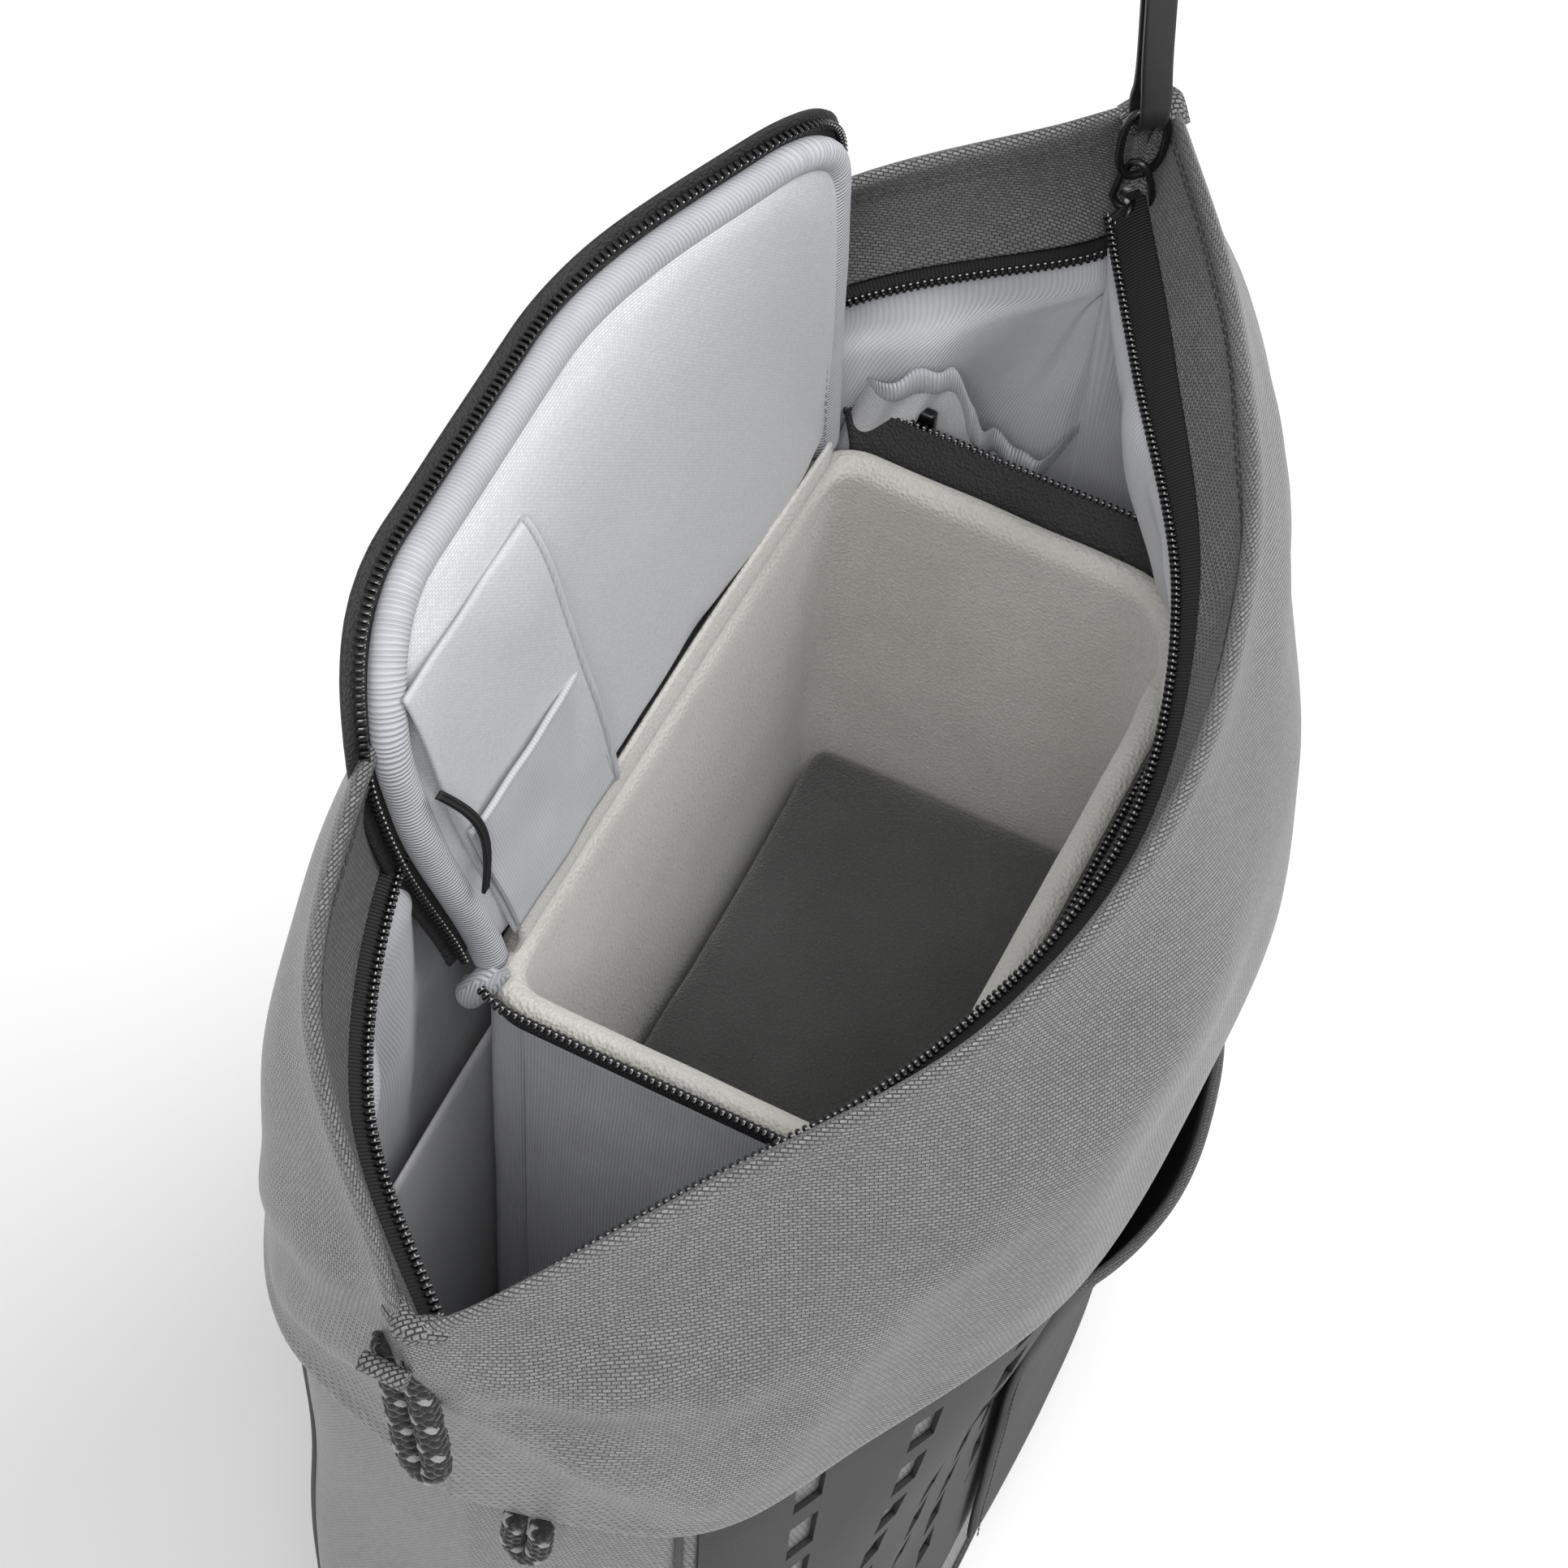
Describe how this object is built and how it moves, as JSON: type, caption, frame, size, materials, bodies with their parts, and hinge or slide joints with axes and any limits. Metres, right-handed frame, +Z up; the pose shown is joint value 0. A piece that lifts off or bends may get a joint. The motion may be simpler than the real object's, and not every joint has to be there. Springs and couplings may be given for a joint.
{
  "type": "camera backpack with removable padded insert",
  "caption": "Tall grey camera backpack standing open at the top, with a removable padded insert whose hinged, zipped lid is open.",
  "frame": {"origin": "middle of the face the bag stands on, below the middle of the mouth", "axes": "+Z up, +X along the width from the near end to the far end, -Y out of the front face, +Y out of the padded back"},
  "size_m": [0.3358, 0.1744, 0.488],
  "materials": {
    "outer_fabric": "satin woven",
    "back_mesh": "spacer mesh",
    "base_fabric": "coated woven",
    "zip_tape": "woven tape",
    "lining_fabric": "ribbed woven",
    "stiffener": "matte",
    "laminate": "laminated",
    "strap_pad": "woven over foam",
    "webbing": "ribbed webbing",
    "buckle_plastic": "matte",
    "cord": "braided, flecked",
    "dark_metal": "gunmetal",
    "pull_rubber": "matte",
    "insert_fabric": "ribbed woven",
    "fleece": "brushed",
    "felt": "felted",
    "elastic": "ribbed elastic"
  },
  "bodies": {
    "bag": {"back_panel": "back_mesh", "base_panel": "base_fabric", "collar_back": "outer_fabric", "collar_front": "outer_fabric", "cord_tail_near": "cord", "end_panel_far": "outer_fabric", "end_panel_near": "outer_fabric", "facing_back": "outer_fabric", "facing_front": "outer_fabric", "frame_sheet": "stiffener", "front_panel": "outer_fabric", "front_pocket": "outer_fabric", "handle_anchors": "webbing", "haul_handle": "webbing", "ladder_lock_far": "buckle_plastic", "ladder_lock_near": "buckle_plastic", "laptop_sleeve": "lining_fabric", "lining": "lining_fabric", "lining_floor": "lining_fabric", "mouth_zip_back": "zip_tape", "mouth_zip_front": "zip_tape", "shoulder_strap_far": "strap_pad", "shoulder_strap_near": "strap_pad", "slip_pocket": "lining_fabric", "slotted_panel": "laminate", "strap_anchor_far": "webbing", "strap_anchor_near": "webbing", "strap_webbing_far": "webbing", "strap_webbing_near": "webbing"},
    "mouth_slider": {"mouth_slider": "dark_metal"},
    "mouth_pull": {"pull_bail": "dark_metal", "pull_ring": "dark_metal", "pull_strap": "pull_rubber"},
    "insert": {"insert_wall_front": "insert_fabric", "insert_wall_back": "insert_fabric", "insert_wall_near": "insert_fabric", "insert_wall_far": "insert_fabric", "insert_floor": "insert_fabric", "insert_fleece": "fleece", "insert_rim_zip": "zip_tape", "hinge_binding": "insert_fabric"},
    "insert_lid": {"lid_panel": "insert_fabric", "lid_zip": "zip_tape", "lid_pocket": "lining_fabric", "lid_elastic": "elastic"},
    "shelf_lower": {"shelf_lower": "felt"},
    "shelf_upper": {"shelf_upper": "felt"},
    "insert_slider": {"insert_slider": "dark_metal", "insert_pull": "pull_rubber"},
    "cord_loop_near": {"cord_loop_near": "cord"},
    "cord_loop_far": {"cord_loop_far": "cord"}
  },
  "joints": [
    {"name": "mouth_zip", "type": "slide", "parent": "bag", "child": "mouth_slider", "axis": [-1, 0, 0], "range_m": [0, 0.295], "deforming": ["collar_front", "collar_back", "facing_front", "facing_back", "mouth_zip_front", "mouth_zip_back", "lining"]},
    {"name": "mouth_pull", "type": "hinge", "parent": "mouth_slider", "child": "mouth_pull", "pos_m": [0.1494, -0.0004, 0.3937], "axis": [0, 1, 0], "range_deg": [-90, 5], "deforming": ["pull_strap"]},
    {"name": "insert_lift", "type": "slide", "parent": "bag", "child": "insert", "axis": [0, 0, 1], "range_m": [0, 0.43], "deforming": ["collar_front", "collar_back", "facing_front", "facing_back", "mouth_zip_front", "mouth_zip_back", "lining"]},
    {"name": "insert_lid", "type": "hinge", "parent": "insert", "child": "insert_lid", "pos_m": [0.0245, 0.048, 0.3416], "axis": [1, 0, 0], "range_deg": [0, 90], "deforming": ["collar_front", "collar_back", "facing_front", "facing_back", "mouth_zip_front", "mouth_zip_back", "lining"]},
    {"name": "insert_zip", "type": "slide", "parent": "insert", "child": "insert_slider", "axis": [0, -1, 0], "range_m": [0, 0.055]},
    {"name": "shelf_lower_lift", "type": "slide", "parent": "insert", "child": "shelf_lower", "axis": [0, 0, 1], "range_m": [0, 0.1]},
    {"name": "shelf_upper_lift", "type": "slide", "parent": "insert", "child": "shelf_upper", "axis": [0, 0, 1], "range_m": [0, 0.1]},
    {"name": "cord_swing_near", "type": "hinge", "parent": "bag", "child": "cord_loop_near", "pos_m": [-0.16511, 0, 0.4052], "axis": [0, 1, 0], "range_deg": [0, 60]},
    {"name": "cord_swing_far", "type": "hinge", "parent": "bag", "child": "cord_loop_far", "pos_m": [0.16511, 0, 0.4052], "axis": [0, -1, 0], "range_deg": [0, 60]}
  ]
}
